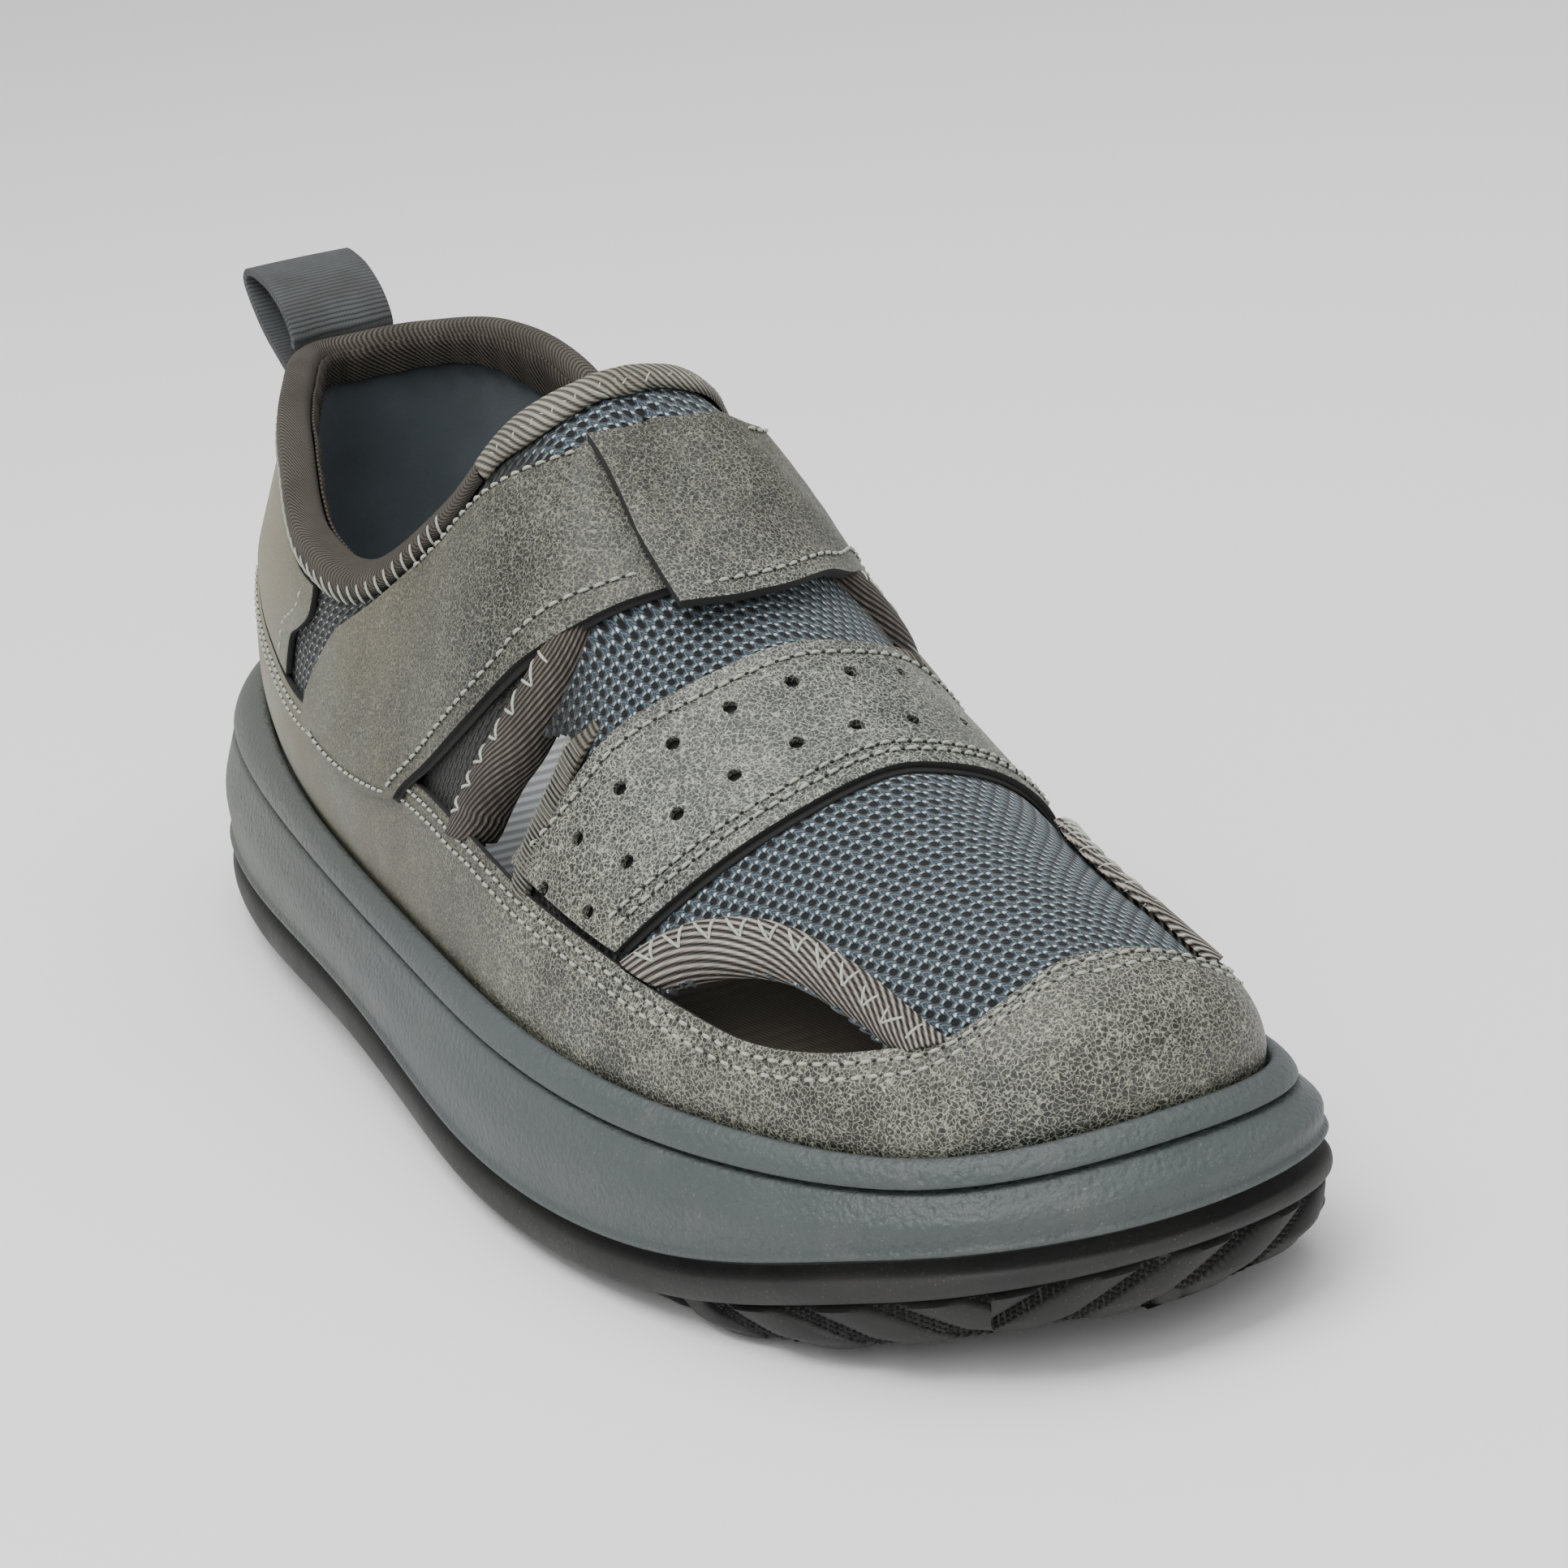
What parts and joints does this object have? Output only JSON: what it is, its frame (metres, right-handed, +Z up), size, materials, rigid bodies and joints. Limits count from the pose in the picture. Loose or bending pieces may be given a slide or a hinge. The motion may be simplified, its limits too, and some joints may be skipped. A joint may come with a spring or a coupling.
{
  "type": "casual shoe",
  "caption": "Low casual shoe for the right foot: thick foam wedge sole on a rubber tread, open-mesh upper with crossing straps and a heel pull loop.",
  "frame": {"origin": "middle of the flat heel rest, on the ground", "axes": "+Y from heel to toe, +X to the outer side of the foot, +Z up"},
  "size_m": [0.1071, 0.2952, 0.1171],
  "materials": {
    "rubber_dark": "matte",
    "foam_slate": "pebbled matte foam",
    "footbed_grey": "ribbed",
    "mesh_blue_grey": "open knit",
    "leather_grey": "grained",
    "binding_brown": "twill",
    "webbing_grey": "ribbed webbing"
  },
  "bodies": {
    "root": {"outsole": "rubber_dark", "midsole": "foam_slate", "insole": "footbed_grey", "upper": "mesh_blue_grey", "mudguard": "leather_grey", "heel_counter": "leather_grey", "forefoot_strap": "leather_grey", "ankle_strap": "leather_grey", "closure_strap": "leather_grey", "collar_binding": "binding_brown", "tongue_binding": "binding_brown", "front_window_binding_lateral": "binding_brown", "front_window_binding_medial": "binding_brown", "quarter_binding_lateral": "binding_brown", "quarter_binding_medial": "binding_brown", "vamp_binding_lateral": "binding_brown", "vamp_binding_medial": "binding_brown", "pull_loop": "webbing_grey"}
  },
  "joints": []
}
